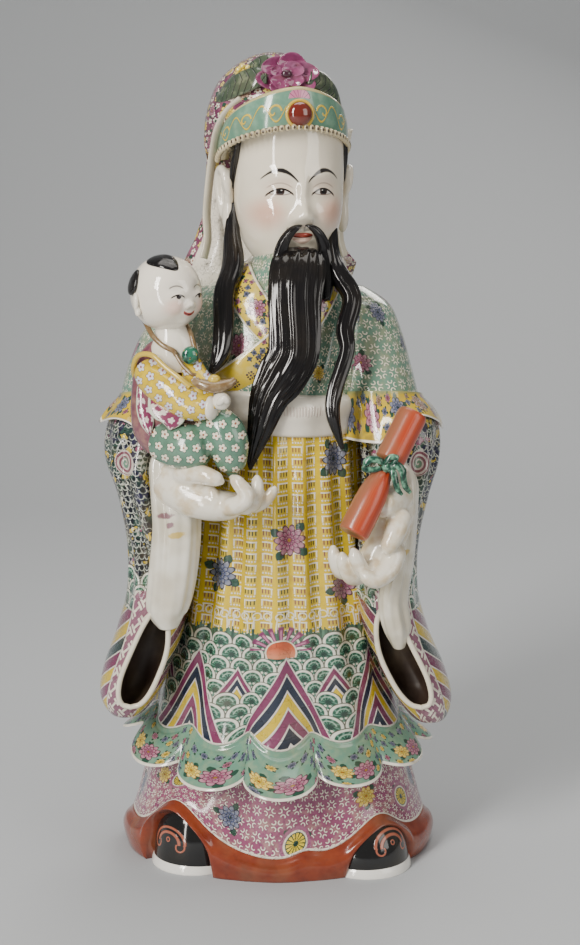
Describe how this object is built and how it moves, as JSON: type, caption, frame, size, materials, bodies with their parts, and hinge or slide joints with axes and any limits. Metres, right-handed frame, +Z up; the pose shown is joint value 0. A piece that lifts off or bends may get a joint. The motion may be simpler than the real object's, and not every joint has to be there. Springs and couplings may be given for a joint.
{
  "type": "porcelain fu lu shou statue",
  "caption": "Tall glazed porcelain figure of a bearded star god in a hat and long flowered robe, holding a small child and a tied scroll, on a flat oval foot.",
  "frame": {"origin": "centre of the figure's body axis on the flat underside", "axes": "+Z up the figure; it faces -Y and +X is to the viewer's right"},
  "size_m": [0.27, 0.2425, 0.62],
  "materials": {
    "glazed_porcelain": "glossy enamels in yellow, green, pink and black over a white glaze"
  },
  "bodies": {
    "root": {"statue": "glazed_porcelain"}
  },
  "joints": []
}
